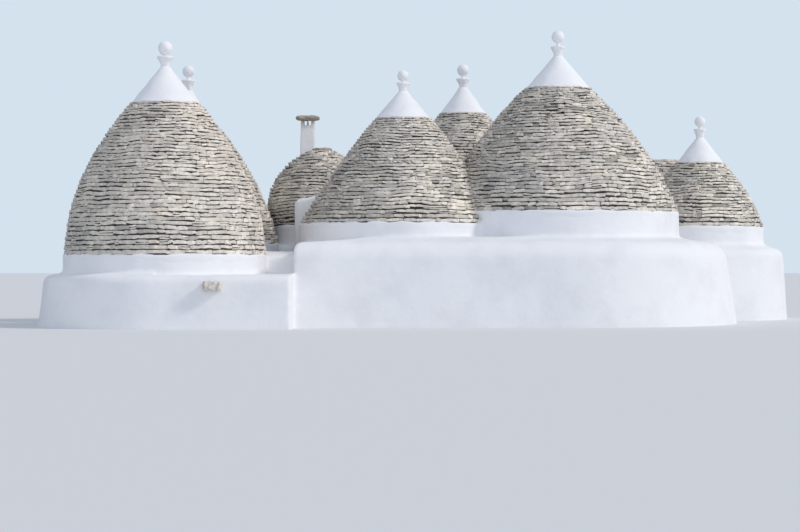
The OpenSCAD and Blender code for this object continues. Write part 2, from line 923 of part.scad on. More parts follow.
// Low leaning wall around the left room, run on to the end of the front wall.
module left_base() {
    run = front_left_x - left_x;
    profile = base_profile(left_drum_r, low_wall_foot_r, low_wall_lean, low_wall_round,
        low_wall_z, low_wall_fall);
    straight = base_profile(left_y - link_y, low_wall_foot_r, low_wall_lean, low_wall_round,
        low_wall_z, low_wall_fall);
    color(plaster) difference() {
        union() {
            at(left_x, left_y)
                rotate([0, 0, 90]) rotate_extrude(angle = 180) polygon(profile);
            at(left_x, left_y)
                rotate([90, 0, 90]) linear_extrude(height = run)
                    polygon([for (p = straight) [-p.x, p.y]]);
        }
        round_mass(left_x, left_y, left_drum_r, far);
        round_mass(left_rear_x, left_rear_y, left_rear_drum_r, far);
    }
}

// Leaning wall around the right room.
module right_base() {
    color(plaster) difference() {
        at(right_x, right_y)
            rotate_extrude()
                polygon(base_profile(right_drum_r, right_foot_r, front_lean / 2,
                    front_round / 2, right_base_z, front_fall));
        beyond_valley(right_x, right_y, right_foot_r, main_x, main_y, front_foot_r);
        round_mass(main_x, main_y, front_foot_r, far);
        round_mass(low_x, low_y, low_drum_r, far);
    }
}

// Recessed wall between the left room and the front wall, with a sloping top.
module left_link_wall() {
    color(plaster) difference() {
        at(left_x, link_y)
            rotate([90, 0, 90]) linear_extrude(height = front_left_x - left_x)
                polygon([[0, 0], [link_t, 0], [link_t, link_back_z], [0, link_front_z]]);
        round_mass(left_x, left_y, left_drum_r, far);
        round_mass(left_rear_x, left_rear_y, left_rear_drum_r, far);
    }
}

// Straight wall around a way along X, with a side of half a link wall's thickness.
module link_block(x1, x2, y) {
    depth = door_w + link_t;
    at(x1, y) translate([0, -depth / 2, 0]) cube([x2 - x1, depth, rear_link_z]);
}

// Wall between the left rear and hearth rooms, with the way between them.
module rear_link_wall() {
    color(plaster) difference() {
        link_block(left_rear_x, parapet_x, (left_rear_y + hearth_y) / 2);
        round_mass(left_rear_x, left_rear_y, left_rear_drum_r, far);
        round_mass(hearth_x, hearth_y, hearth_drum_r, far);
        left_rear_hearth_way();
    }
}

// Wall between the hearth and rear rooms, with the way between them.
module hearth_link_wall() {
    color(plaster) difference() {
        link_block(hearth_x, rear_x, (hearth_y + rear_y) / 2);
        round_mass(rear_x, rear_y, rear_drum_r, far);
        round_mass(hearth_x, hearth_y, hearth_drum_r, far);
        round_mass(centre_x, centre_y, centre_drum_r, far);
        parapet_block();
        hearth_rear_way();
    }
}

module parapet_block() {
    at(parapet_x, hearth_y)
        rotate([90, 0, 0]) linear_extrude(height = hearth_y - parapet_y)
            polygon(concat(
                [[0, 0]],
                arc([parapet_corner, parapet_z - parapet_corner], parapet_corner, 180, 90),
                [[parapet_len, parapet_z + parapet_rise], [parapet_len, 0]]));
}

// Raised wall between the hearth dome and the centre roof.
module parapet_wall() {
    color(plaster) difference() {
        parapet_block();
        round_mass(hearth_x, hearth_y, hearth_belly_r, far);
        round_mass(rear_x, rear_y, rear_drum_r, far);
        round_mass(centre_x, centre_y, centre_drum_r, far);
        left_rear_hearth_way();
    }
}

// Rough stone left jutting out of the low left wall.
module jutting_stone() {
    face_y = left_y - low_wall_foot_r;
    color(warm_stone) difference() {
        at(left_x + stone_x, face_y)
            translate([-stone_w / 2, -stone_out + low_wall_lean, stone_z - stone_h / 2])
                cube([stone_w, stone_out + low_wall_lean, stone_h]);
        left_base();
    }
}

main_roof();
main_cap();
main_pinnacle();
main_drum();
centre_roof();
centre_cap();
centre_pinnacle();
centre_drum();
rear_roof();
rear_cap();
rear_pinnacle();
rear_drum();
left_roof();
left_cap();
left_pinnacle();
left_drum();
left_rear_roof();
left_rear_cap();
left_rear_pinnacle();
left_rear_drum();
right_roof();
right_cap();
right_pinnacle();
right_drum();
hearth_roof();
hearth_crown();
hearth_drum();
chimney_stack();
chimney_slab();
low_roof();
low_slab();
low_drum();
front_wall();
main_base();
left_base();
right_base();
left_link_wall();
rear_link_wall();
hearth_link_wall();
parapet_wall();
jutting_stone();
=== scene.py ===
"""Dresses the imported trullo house: roof slabs laid one by one, limewashed plaster, caps and pinnacles."""

import math
from dataclasses import dataclass

import bmesh
import bpy
import numpy as np
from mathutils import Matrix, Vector


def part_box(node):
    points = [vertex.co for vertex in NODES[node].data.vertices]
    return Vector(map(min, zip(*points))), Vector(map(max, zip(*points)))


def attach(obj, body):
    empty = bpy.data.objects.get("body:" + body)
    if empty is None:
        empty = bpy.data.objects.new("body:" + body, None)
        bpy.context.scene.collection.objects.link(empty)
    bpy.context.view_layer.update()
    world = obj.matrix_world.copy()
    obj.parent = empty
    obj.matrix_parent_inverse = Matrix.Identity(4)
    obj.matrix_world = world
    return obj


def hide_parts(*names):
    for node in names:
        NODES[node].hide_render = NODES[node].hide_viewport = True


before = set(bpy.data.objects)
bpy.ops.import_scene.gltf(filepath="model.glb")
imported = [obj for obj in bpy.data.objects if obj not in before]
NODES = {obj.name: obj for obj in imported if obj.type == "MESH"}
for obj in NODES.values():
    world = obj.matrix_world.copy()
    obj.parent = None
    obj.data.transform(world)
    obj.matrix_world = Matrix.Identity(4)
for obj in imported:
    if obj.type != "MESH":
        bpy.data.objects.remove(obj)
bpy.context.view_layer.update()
TURN = 2 * math.pi

# Camera: level, at the place and with the focal length estimated for the photograph.
CAMERA_PLACE = (-0.975, -58.825, 1.5)
PHOTO_WIDTH = 800
FOCAL_PIXELS = 2200
SENSOR_MM = 36.0

# Light: colour and strength of the sky, and colour of the background that the camera sees.
SKY_COLOR = (0.82, 0.9, 1.08, 1)
SKY_STRENGTH = 0.58
BACKDROP_COLOR = (0.66, 0.76, 0.86, 1)
# Floor: its colour, and half its width.
FLOOR_COLOR = (0.74, 0.75, 0.75, 1)
FLOOR_HALF = 400

# How far a room's wall reaches past its roof's eave.
DRUM_OVER = 0.055
# How far a cap's foot reaches past the roof's top.
CAP_LIP = 0.035
# How much thicker than the mean a cone's lowest course is, and how much thinner its highest.
COURSE_TAPER = 0.2
# Top radius of a cone without a cap.
LOW_TOP_R = 0.7

# Dome: height of its belly, rise above it, how fast it draws in below, roundness above, and
# the least ledge between two courses.
DOME_BELLY_H = 0.43
DOME_RISE = 1.72
DOME_CURL = 0.6
DOME_POWER = 0.65
DOME_LEAST_LEDGE = 0.02

# A slab has four stations along its length, and at each a closed outline of six points.
STATIONS = np.array([0.0, 0.3, 0.7, 1.0])
AT_END = np.array([1.0, 0.0, 0.0, 1.0])
# Each outline point's recess behind the face, and its share of the slab's height.
FACE_RECESS = np.array([0.0, 0.007, 0.0, 0.005, 0.016, 0.0])
FACE_SHARE = np.array([0.03, 0.0, 0.16, 0.82, 1.0, 0.97])
IS_BACK = np.array([1, 0, 0, 0, 0, 1], bool)

# Slab lengths: spread about a roof's usual length, limits, and shortening on narrow courses.
LENGTH_SPREAD = 0.45
LENGTH_LIMITS = (0.1, 0.7)
NARROW_SHARE = 0.6
NARROW_GAIN = 0.2
WIDEST_ANGLE = 1.1
# A rest of a course that is shorter than this goes to the last slab.
SHORTEST_REST = 0.1
# Gaps beside slabs and joints under them: usual ones, wide ones and the share of wide ones.
GAP = (0, 0.003)
WIDE_GAP = (0.006, 0.02)
WIDE_GAP_SHARE = 0.1
JOINT = (0.007, 0.018)
WIDE_JOINT = (0.02, 0.034)
WIDE_JOINT_SHARE = 0.4
# How far a slab runs back under the next course, and play of its top in course heights.
TAIL = 0.07
TOP_PLAY = (-0.07, 0.03)
# Places with two thin slabs on each other: their share, their foot and cut in course heights,
# and the gap below and above the cut in metres.
SPLIT_SHARE = 0.1
SPLIT_FOOT = 0.05
SPLIT_AT = (0.45, 0.6)
SPLIT_BELOW = 0.007
SPLIT_ABOVE = 0.003

# How far slab faces stand out from the roof's core, and the few that jut out further.
FACE_OUT = 0.03
FACE_SPREAD = 0.008
FACE_LIMITS = (0.018, 0.06)
JUT = 0.018
JUT_SHARE = 0.08
# Unevenness of a slab: turn and wobble of its face, how far its ends fall back, its tilt, the
# wobble of its edges, how much its lower edge rises at the ends, and how much its upper edge
# falls there, as a share of its height.
FACE_TURN = 0.006
FACE_WOBBLE = 0.003
END_BACK = 0.005
TILT = 0.011
BOTTOM_WOBBLE = 0.005
BOTTOM_END = (-0.006, 0.012)
TOP_WOBBLE = 0.004
TOP_END = (0.0, 0.2)
# The least height that is left of a slab, as a share.
LEAST_HEIGHT = 0.45
# Play of the recesses, as a factor, and wobble of every point.
RECESS_PLAY = (0.5, 1.4)
POINT_WOBBLE = 0.0025

# Rise and fall of the courses, as wavelength and height, its limits, and the lift that goes
# with it. LIFT holds everywhere, and the rest fades out at a roof's foot and top.
LONG_SWAY = (2.1, 0.018)
SHORT_SWAY = (0.7, 0.013)
SWAY_LIMITS = (-0.035, 0.045)
SWAY_LIFT = 0.03
LIFT = 0.018
# Swelling of the face of a roof, as wavelength and height.
BULK = (1.3, 0.008)
FADE_RATE = 8

# Valleys: how far past the valley plane every slab stays, how far past it any slab stays, and
# how deep in the other roof it may lie there.
VALLEY_SLACK = 0.03
VALLEY_REACH = 0.4
VALLEY_COVER = 0.04
# How far past the plane a collar runs, and the distance that is used where there is no valley.
COLLAR_REACH = 0.12
NO_VALLEY = -9.0

# Rounded foot of a cap, as offsets from its radius and from its foot's height.
CAP_FOOT = [(-0.1, 0.005), (-0.03, -0.008), (-0.006, -0.002), (0.002, 0.012), (-0.002, 0.03),
            (-0.014, 0.045)]
CAP_SHOULDER = (-0.03, 0.065)
# Height of the part that waves, and wavelength and height of its waves.
CAP_EDGE_H = 0.05
CAP_EDGE_WAVE = (0.3, 0.012)

# Pinnacle: radii of the goblet's foot and of the neck, the lip's reach past the ball, and how
# late the goblet widens.
GOBLET_FOOT = 0.105
NECK = 0.05
GOBLET_OVER = 0.025
FLARE_POWER = 1.7
# Lip of the goblet, as offsets from its radius and height, and the dip from it to the neck.
GOBLET_LIP = [(0, -0.032), (0, -0.014), (-0.01, -0.002), (-0.035, 0.004)]
GOBLET_DIP = [(0.03, 0.006), (0.004, 0.014)]
# A neck that is shorter than this gets no point of its own.
LEAST_NECK = 0.03

# Plaster edge under an eave, top down, as offsets from the wall's radius and the eave's height.
COLLAR = [(-0.12, -0.02), (-0.06, 0.03), (-0.03, 0.036), (-0.006, 0.02), (0.003, -0.012),
          (0.002, -0.06), (-0.006, -0.13), (-0.03, -0.22)]
# Its waves, as wavelength and height, and their limits.
COLLAR_WAVE = (0.45, 0.016)
COLLAR_RIPPLE = (0.16, 0.007)
COLLAR_LIMITS = (-0.02, 0.04)
COLLAR_FACES_PER_M = 64

# Unevenness of softened faces: wavelengths of large and small waves, and share of the small.
TROWEL_WAVE = 1.9
HAND_WAVE = 0.55
HAND_SHARE = 0.35
# How far walls are carried on below the ground, and how high a point still counts as on it.
WALL_SUNK = 0.4
GROUND_SLACK = 0.001

# Stone and plaster colours. The tones of a stone are light, middle, dark and warm.
GREY_TONES = ((1.0, 0.94, 0.85), (0.76, 0.715, 0.645), (0.4, 0.38, 0.345), (0.92, 0.82, 0.69))
WARM_TONES = ((1.0, 0.935, 0.845), (0.84, 0.78, 0.7), (0.56, 0.52, 0.465), (0.87, 0.77, 0.65))
SLAB_TONES = ((0.5, 0.45, 0.38), (0.4, 0.36, 0.3), (0.28, 0.25, 0.21), (0.5, 0.42, 0.32))
# Painted shade: a tint that darkens stone faces turned to -X, away from the key light.
SHADE_SIDE_TINT = (0.74, 0.76, 0.76)
SOOT_COLOR = (0.42, 0.33, 0.23)
# The soot sets in around this far below the top of the chimney stack.
SOOT_DROP = 0.15

# First seeds of the caps, pinnacles and collars, and the step from collar to collar.
CAP_SEED = 50
PINNACLE_SEED = 60
COLLAR_SEED = 70
COLLAR_SEED_STEP = 10


@dataclass
class Roof:
    """A stone roof: what the frame doesn't say of it.

    Stone is the usual length of its slabs and goblet the height of its pinnacle's goblet. A roof
    without a goblet has no cap either.
    """

    name: str
    courses: int
    stone: float
    seed: int
    bulge: float = 0.0
    meets: tuple = ()
    goblet: float = 0.0


CONES = [
    Roof("main", courses=38, stone=0.24, seed=11, bulge=0.42, meets=("centre", "rear"), goblet=0.245),
    Roof("centre", courses=33, stone=0.23, seed=12, bulge=0.06, meets=("main", "rear"), goblet=0.21),
    Roof("rear", courses=35, stone=0.23, seed=13, bulge=0.2, meets=("main", "centre"), goblet=0.245),
    Roof("left", courses=40, stone=0.26, seed=14, bulge=0.9, meets=("left_rear",), goblet=0.25),
    Roof("left_rear", courses=35, stone=0.24, seed=15, bulge=0.6, meets=("left",), goblet=0.285),
    Roof("right", courses=21, stone=0.23, seed=16, bulge=0.45, meets=("low",), goblet=0.24),
    Roof("low", courses=22, stone=0.23, seed=18, bulge=0.5, meets=("right",)),
]
DOME = Roof("hearth", courses=25, stone=0.23, seed=17)


def ripple(points, wavelength, seed, waves=14):
    """A smooth random field over 3-D points, mostly from -1 to 1, of sines in many directions."""
    rng = np.random.default_rng(seed)
    ways = rng.normal(size=(waves, 3))
    ways /= np.linalg.norm(ways, axis=1, keepdims=True)
    ways *= (TURN / (wavelength * rng.uniform(0.7, 1.5, waves)))[:, None]
    phase = rng.uniform(0, TURN, waves)
    return np.sin(points @ ways.T + phase).sum(axis=-1) / math.sqrt(waves)


def wave(points, size, seed):
    """A ripple with a wavelength and a height, in metres."""
    wavelength, height = size
    return ripple(points, wavelength, seed) * height


def either(rng, usual, rare, rare_share):
    """A random value, from the rare range in a share of the cases."""
    return rng.uniform(*rare) if rng.random() < rare_share else rng.uniform(*usual)


def finish_object(obj, material, smooth):
    """Shades a piece, gives it its material and ties it to the house."""
    if smooth:
        obj.data.shade_smooth()
    else:
        obj.data.shade_flat()
    obj.data.materials.clear()
    obj.data.materials.append(material)
    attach(obj, "root")


def new_object(name, verts, faces, material, smooth=True):
    """A finished piece from points and faces."""
    mesh = bpy.data.meshes.new(name)
    mesh.from_pydata(verts.tolist(), [], faces)
    mesh.update()
    obj = bpy.data.objects.new(name, mesh)
    bpy.context.scene.collection.objects.link(obj)
    finish_object(obj, material, smooth)
    return obj


def repaint(node_name, material):
    """Gives a node of the frame another material."""
    obj = NODES[node_name]
    for holder in obj.material_slots:
        holder.material = material
    if not obj.material_slots:
        obj.data.materials.append(material)


def centre(name):
    """Axis of a round room, from the frame."""
    part = next(p for p in ("_cap", "_slab", "_crown") if name + p in NODES)
    lo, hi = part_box(name + part)
    return (lo[0] + hi[0]) / 2, (lo[1] + hi[1]) / 2


def roof_plan(name):
    """Centre and largest radius of a roof, from the frame."""
    x, y = AXES[name]
    lo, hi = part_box(name + "_roof")
    return x, y, max(abs(hi[0] - x), abs(lo[0] - x), abs(hi[1] - y), abs(lo[1] - y))


def valley(name, other):
    """The valley plane between two roofs, as a point and the direction past it."""
    x1, y1, r1 = roof_plan(name)
    x2, y2, r2 = roof_plan(other)
    r1, r2 = r1 + DRUM_OVER, r2 + DRUM_OVER
    gap = math.hypot(x2 - x1, y2 - y1)
    along = (gap * gap + r1 * r1 - r2 * r2) / (2 * gap)
    way = np.array([(x2 - x1) / gap, (y2 - y1) / gap])
    return np.array([x1, y1]) + way * along, way


def past(planes, x, y):
    """How far points lie past the nearest valley plane, negative before it."""
    depths = [(x - p[0]) * d[0] + (y - p[1]) * d[1] for p, d in planes]
    return np.max(depths, axis=0) if depths else np.full(np.shape(x), NO_VALLEY)


def course_share(i, courses):
    """Share of a cone's height that lies below course i. Courses get thinner upwards."""
    t = i / courses
    return (1 + COURSE_TAPER) * t - COURSE_TAPER * t * t


def cone_courses(roof):
    """Centre of a cone, and radius, low edge, high edge and ledge of each course."""
    x, y, eave_r = roof_plan(roof.name)
    lo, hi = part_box(roof.name + "_roof")
    rise = hi[2] - lo[2]
    top_r = LOW_TOP_R
    if roof.name + "_cap" in NODES:
        cap_lo, cap_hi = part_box(roof.name + "_cap")
        top_r = (cap_hi[0] - cap_lo[0]) / 2 - CAP_LIP

    def radius(i):
        u = course_share(i, roof.courses)
        return top_r + (eave_r - top_r) * (1 - u) * (1 + roof.bulge * u)

    rows = []
    for i in range(roof.courses):
        low, high = course_share(i, roof.courses), course_share(i + 1, roof.courses)
        ledge = radius(i) - radius(i + 1)
        rows.append((radius(i), lo[2] + rise * low, lo[2] + rise * high, ledge))
    return x, y, rows


def dome_courses(roof):
    """Centre of a dome, and radius, low edge, high edge and ledge of each course."""
    x, y, belly_r = roof_plan(roof.name)
    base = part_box(roof.name + "_roof")[0][2]
    height = DOME_BELLY_H + DOME_RISE

    def radius(h):
        if h < DOME_BELLY_H:
            return belly_r - DOME_CURL * (DOME_BELLY_H - h) ** 2
        share = min(1.0, (h - DOME_BELLY_H) / DOME_RISE)
        return belly_r * (1 - share**2) ** DOME_POWER

    rows = []
    for i in range(roof.courses - 1):
        low, high = height * i / roof.courses, height * (i + 1) / roof.courses
        mid = (low + high) / 2
        ledge = radius(mid) - radius(mid + high - low)
        rows.append((radius(mid), base + low, base + high, max(ledge, DOME_LEAST_LEDGE)))
    return x, y, rows


def stays(roof, x, y, z):
    """Whether a roof's surface shows at a point near its valleys."""
    for other in roof.meets:
        corner, way = VALLEYS[roof.name, other]
        depth = (x - corner[0]) * way[0] + (y - corner[1]) * way[1]
        if depth < VALLEY_SLACK:
            continue
        ox, oy, rows = ROWS[other]
        radius = np.interp(z, [row[1] for row in rows], [row[0] for row in rows])
        if depth > VALLEY_REACH or radius - math.hypot(x - ox, y - oy) > VALLEY_COVER:
            return False
    return True


def slab_angle(rng, usual_length, r):
    """Angle that one slab takes of a course."""
    length = np.clip(usual_length * rng.lognormal(0, LENGTH_SPREAD), *LENGTH_LIMITS)
    return min(length * min(1, NARROW_SHARE + NARROW_GAIN * r) / r, WIDEST_ANGLE)


def lay_slabs(rng, roof):
    """One row per slab: radius, depth, low and high edge, first and last angle, course share."""
    cx, cy, rows = ROWS[roof.name]
    slabs = []
    for i, (r, z0, z1, ledge) in enumerate(rows):
        pitch = z1 - z0
        share = (i + 0.5) / len(rows)
        a = rng.uniform(0, TURN)
        end = a + TURN
        while a < end - 1e-6:
            step = slab_angle(rng, roof.stone, r)
            if end - (a + step) < SHORTEST_REST / r:
                step = end - a
            gap = either(rng, GAP, WIDE_GAP, WIDE_GAP_SHARE) / r
            joint = either(rng, JOINT, WIDE_JOINT, WIDE_JOINT_SHARE)
            if any(stays(roof, cx + r * math.cos(e), cy + r * math.sin(e), z0) for e in (a, a + step)):
                high = z1 + rng.uniform(*TOP_PLAY) * pitch
                sides = (a + gap / 2, a + step - gap / 2, share)
                if rng.random() < SPLIT_SHARE:
                    cut = z0 + pitch * rng.uniform(*SPLIT_AT)
                    foot = z0 + SPLIT_FOOT * pitch
                    slabs.append((r, ledge + TAIL, foot, cut - SPLIT_BELOW, *sides))
                    slabs.append((r, ledge + TAIL, cut + SPLIT_ABOVE, high, *sides))
                else:
                    slabs.append((r, ledge + TAIL, z0 + joint, high, *sides))
            a += step
    return np.array(slabs)


def face_distance(rng, n):
    """How far the faces of n slabs stand out from the core, at each station."""
    out = rng.normal(FACE_OUT, FACE_SPREAD, (n, 1))
    out = out + np.where(rng.random((n, 1)) < JUT_SHARE, JUT, 0)
    out = np.clip(out, *FACE_LIMITS)
    out = out + rng.normal(0, FACE_TURN, (n, 1)) * (STATIONS - 0.5)
    return out + rng.normal(0, FACE_WOBBLE, (n, 4)) - AT_END * rng.uniform(0, END_BACK, (n, 1))


def slab_edges(rng, low, high):
    """Heights of the slabs' lower and upper edges, at each station."""
    shape = (len(low), 4)
    tilt = rng.normal(0, TILT, (len(low), 1)) * (STATIONS - 0.5)
    bottom = low + tilt + rng.normal(0, BOTTOM_WOBBLE, shape) + AT_END * rng.uniform(*BOTTOM_END, shape)
    top = high + tilt + rng.normal(0, TOP_WOBBLE, shape)
    top = top - AT_END * (high - low) * rng.uniform(*TOP_END, shape)
    return bottom, np.maximum(top, bottom + (high - low) * LEAST_HEIGHT)


def slab_vertices(rng, cx, cy, slabs, seed):
    """The points of all slabs of a roof, six at each station."""
    r, depth, low, high, a0, a1, share = (c[:, None] for c in slabs.T)
    n = len(slabs)
    angle = a0 + (a1 - a0) * STATIONS
    face = face_distance(rng, n)
    bottom, top = slab_edges(rng, low, high)
    place = np.stack([cx + r * np.cos(angle), cy + r * np.sin(angle), low + 0 * angle], axis=-1)
    fade = np.clip(np.minimum(share, 1 - share) * FADE_RATE, 0, 1)
    sway = wave(place, LONG_SWAY, seed) + wave(place, SHORT_SWAY, seed + 1)
    sway = LIFT + fade * (SWAY_LIFT + np.clip(sway, *SWAY_LIMITS))
    bulk = wave(place, BULK, seed + 2) * fade
    recess = FACE_RECESS * rng.uniform(*RECESS_PLAY, (n, 1, 1))
    radial = (face + bulk)[:, :, None] - recess + rng.normal(0, POINT_WOBBLE, (n, 4, 6))
    radial = np.where(IS_BACK, -depth[:, :, None], radial)
    rr = r[:, :, None] + radial
    z = bottom[:, :, None] + (top - bottom)[:, :, None] * FACE_SHARE + sway[:, :, None]
    x = cx + rr * np.cos(angle)[:, :, None]
    y = cy + rr * np.sin(angle)[:, :, None]
    return np.stack([x, y, z], axis=-1).reshape(-1, 3)


def slab_faces(count):
    """Quads that close every slab: around its length, and two at each end."""
    k, spans = len(FACE_RECESS), len(STATIONS) - 1
    quads = []
    for start in range(0, spans * k, k):
        for j in range(k):
            n = (j + 1) % k
            quads.append((start + n, start + j, start + k + j, start + k + n))
    last = spans * k
    quads += [(5, 4, 1, 0), (4, 3, 2, 1)]
    quads += [(last, last + 1, last + 4, last + 5), (last + 1, last + 2, last + 3, last + 4)]
    first = (np.arange(count) * k * len(STATIONS))[:, None, None]
    return (first + np.array(quads)).reshape(-1, 4).tolist()


def lay_roof(roof):
    """Lays a roof's slabs, and gives the stepped core that shows in the joints a painted shade."""
    cx, cy, _ = ROWS[roof.name]
    rng = np.random.default_rng(roof.seed)
    slabs = lay_slabs(rng, roof)
    verts = slab_vertices(rng, cx, cy, slabs, roof.seed)
    material, slot = GREY_STONE, "roof_stone"
    if roof.name == "left":
        material, slot = WARM_STONE, "warm_roof_stone"
    new_object(roof.name + "_slabs", verts, slab_faces(len(slabs)), material, smooth=False)
    repaint(roof.name + "_roof", JOINT_SHADE)


def lathe(cx, cy, profile, segments, rough, seed):
    """Turned form, uneven as made by hand, with caps as its last two faces.

    Profile points are (radius, height) from bottom to top, and rough is a wavelength and a height.
    """
    profile = np.array(profile)
    angle = np.linspace(0, TURN, segments, endpoint=False)
    r, z = profile[:, 0][:, None], profile[:, 1][:, None]
    x, y = cx + r * np.cos(angle), cy + r * np.sin(angle)
    points = np.stack([x, y, z + 0 * angle], axis=-1)
    push = wave(points, rough, seed) * np.clip(r / 0.04, 0, 1)
    points[:, :, 0] += push * np.cos(angle)
    points[:, :, 1] += push * np.sin(angle)
    rings = len(profile)
    faces = []
    for low in range(0, (rings - 1) * segments, segments):
        high = low + segments
        for j in range(segments):
            n = (j + 1) % segments
            faces.append((low + j, low + n, high + n, high + j))
    faces.append(tuple(range(segments))[::-1])
    faces.append(tuple(range((rings - 1) * segments, rings * segments)))
    return points.reshape(-1, 3), faces


def between(a, b, steps):
    """Points from a up to, but without, b."""
    return [(a[0] + (b[0] - a[0]) * t / steps, a[1] + (b[1] - a[1]) * t / steps)
            for t in range(steps)]


def moved(offsets, r, z):
    """Profile points from offsets to a radius and a height."""
    return [(r + dr, z + dz) for dr, dz in offsets]


def build_cap(name, seed):
    """Plastered cone on a roof, with a rounded, slightly wavy foot."""
    cx, cy = AXES[name]
    lo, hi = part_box(name + "_cap")
    r, z, top = (hi[0] - lo[0]) / 2, lo[2], hi[2]
    shoulder = moved([CAP_SHOULDER], r, z)[0]
    profile = moved(CAP_FOOT, r, z) + between(shoulder, (GOBLET_FOOT + 0.006, top - 0.005), 16)
    profile += [(GOBLET_FOOT + 0.004, top - 0.004), (GOBLET_FOOT - 0.03, top)]
    verts, faces = lathe(cx, cy, profile, segments=84, rough=(0.4, 0.007), seed=seed)
    edge = verts[:, 2] < z + CAP_EDGE_H
    verts[edge, 2] += wave(verts[edge] * [1, 1, 0], CAP_EDGE_WAVE, seed + 5)
    obj = new_object(name + "_cap_plaster", verts, faces, CAP_PLASTER)
    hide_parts(name + "_cap")


def build_pinnacle(name, goblet, seed):
    """Goblet, neck and ball, turned in one."""
    cx, cy = AXES[name]
    lo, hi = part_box(name + "_pinnacle")
    lip = (hi[0] - lo[0]) / 2
    ball = lip - GOBLET_OVER
    foot = lo[2]
    ball_z, lip_z = hi[2] - ball, foot + goblet
    profile = [(GOBLET_FOOT - 0.02, foot - 0.02)]
    for t in np.linspace(0, 1, 9):
        flare = (lip - 0.006 - GOBLET_FOOT) * t**FLARE_POWER
        profile.append((GOBLET_FOOT + flare, foot + (goblet - 0.045) * t))
    profile += moved(GOBLET_LIP, lip, lip_z) + moved(GOBLET_DIP, NECK, lip_z)
    join = math.asin(NECK / ball)
    neck_top = ball_z - ball * math.cos(join)
    if neck_top - lip_z > LEAST_NECK:
        profile.append((NECK, neck_top - 0.008))
    for a in np.linspace(join + 0.1, math.pi - 0.12, 17):
        profile.append((ball * math.sin(a), ball_z - ball * math.cos(a)))
    verts, faces = lathe(cx, cy, profile, segments=44, rough=(0.16, 0.004), seed=seed)
    obj = new_object(name + "_pinnacle_stone", verts, faces, CAP_PLASTER)
    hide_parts(name + "_pinnacle")


def build_collar(name, planes, seed):
    """Wavy edge of the plaster where it laps over a roof's lowest stones."""
    cx, cy, eave_r = roof_plan(name)
    r, z = eave_r + DRUM_OVER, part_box(name + "_roof")[0][2]
    if name == DOME.name:
        r = ROWS[name][2][0][0] + 0.01
    profile = moved(COLLAR, r, z)[::-1]
    segments = int(r * COLLAR_FACES_PER_M)
    verts, faces = lathe(cx, cy, profile, segments, rough=(0.5, 0.005), seed=seed)
    faces = faces[:-2]
    flat = verts * [1, 1, 0]
    rise = wave(flat, COLLAR_WAVE, seed + 3) + wave(flat, COLLAR_RIPPLE, seed + 4)
    near_top = np.clip((verts[:, 2] - (z - 0.03)) / 0.05, 0, 1)
    verts[:, 2] += np.clip(rise, *COLLAR_LIMITS) * near_top
    deep = past(planes, verts[:, 0], verts[:, 1])
    faces = [f for f in faces if min(deep[v] for v in f) < COLLAR_REACH]
    keep = sorted({v for f in faces for v in f})
    renumber = {v: i for i, v in enumerate(keep)}
    faces = [tuple(renumber[v] for v in f) for f in faces]
    new_object(name + "_eave_plaster", verts[keep], faces, PLASTER)


def copy_joined(name, nodes):
    """One new object from copies of frame nodes."""
    joined = bmesh.new()
    for n in nodes:
        joined.from_mesh(NODES[n].data)
    mesh = bpy.data.meshes.new(name)
    joined.to_mesh(mesh)
    joined.free()
    obj = bpy.data.objects.new(name, mesh)
    bpy.context.scene.collection.objects.link(obj)
    return obj


def apply_modifiers(obj):
    """Puts the result of an object's modifiers in the place of its mesh."""
    graph = bpy.context.evaluated_depsgraph_get()
    mesh = bpy.data.meshes.new_from_object(obj.evaluated_get(graph))
    old = obj.data
    obj.modifiers.clear()
    obj.data = mesh
    bpy.data.meshes.remove(old)


def places(mesh):
    """A mesh's points as an array."""
    co = np.empty(len(mesh.vertices) * 3, np.float32)
    mesh.vertices.foreach_get("co", co)
    return co.reshape(-1, 3)


def put_back(mesh, co):
    """Moves a mesh's points to those of an array."""
    mesh.vertices.foreach_set("co", co.astype(np.float32).ravel())
    mesh.update()


def soften(obj, voxel, smooth, rough, seed, keep=1.0):
    """Rebuilds a piece with rounded edges and an uneven face, as made by hand.

    A keep below 1 is the share of its faces that stays.
    """
    remesh = obj.modifiers.new("remesh", "REMESH")
    remesh.mode = "VOXEL"
    remesh.voxel_size = voxel
    relax = obj.modifiers.new("relax", "SMOOTH")
    relax.factor = 0.5
    relax.iterations = smooth
    apply_modifiers(obj)
    mesh = obj.data
    co = places(mesh)
    normal = np.empty(len(co) * 3, np.float32)
    mesh.vertex_normals.foreach_get("vector", normal)
    push = ripple(co, TROWEL_WAVE, seed) * rough + ripple(co, HAND_WAVE, seed + 1) * rough * HAND_SHARE
    put_back(mesh, co + normal.reshape(-1, 3) * push[:, None])
    if keep < 1:
        obj.modifiers.new("thin", "DECIMATE").ratio = keep
        apply_modifiers(obj)


def sink_feet(obj, depth):
    """Carries walls on below the ground, so that their foot line stays sharp after the cut."""
    bm = bmesh.new()
    bm.from_mesh(obj.data)
    bmesh.ops.remove_doubles(bm, verts=bm.verts[:], dist=1e-5)
    feet = [f for f in bm.faces if all(v.co.z < GROUND_SLACK for v in f.verts)]
    sunk = bmesh.ops.extrude_face_region(bm, geom=feet)["geom"]
    for v in sunk:
        if isinstance(v, bmesh.types.BMVert):
            v.co.z -= depth
    bm.to_mesh(obj.data)
    bm.free()


def cut_at_ground(obj):
    """Cuts a mesh at ground level and closes the cut, with a sharp edge around it."""
    bm = bmesh.new()
    bm.from_mesh(obj.data)
    cut = bmesh.ops.bisect_plane(
        bm, geom=bm.verts[:] + bm.edges[:] + bm.faces[:], plane_co=(0, 0, 0), plane_no=(0, 0, -1),
        clear_outer=True)
    edges = [e for e in cut["geom_cut"] if isinstance(e, bmesh.types.BMEdge)]
    bmesh.ops.triangle_fill(bm, use_beauty=True, edges=edges, normal=(0, 0, -1))
    for e in edges:
        e.smooth = False
    bm.to_mesh(obj.data)
    bm.free()


